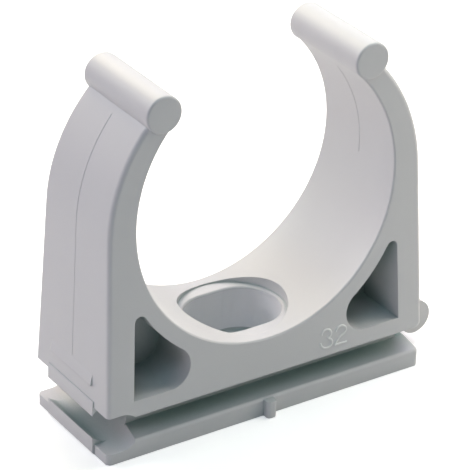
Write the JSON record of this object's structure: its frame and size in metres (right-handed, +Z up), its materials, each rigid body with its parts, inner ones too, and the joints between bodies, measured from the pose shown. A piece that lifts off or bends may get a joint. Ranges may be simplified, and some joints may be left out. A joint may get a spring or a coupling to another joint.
{
  "type": "conduit clip",
  "caption": "Open C-shaped snap-in clip for round conduit, with bead-ended arms, a screw well in the bore floor, a foot plate, and a lug and socket that join clips side by side.",
  "frame": {"origin": "centre of the foot's underside, on the axis of the screw hole and straight under the bore's axis", "axes": "+X across the arms towards the snap lug, +Y along the conduit away from the front face, +Z up from the mounting face towards the open mouth"},
  "size_m": [0.0446, 0.0166, 0.0403],
  "materials": {
    "body": "matte light grey"
  },
  "bodies": {
    "root": {"conduit_clip": "body"}
  },
  "joints": []
}
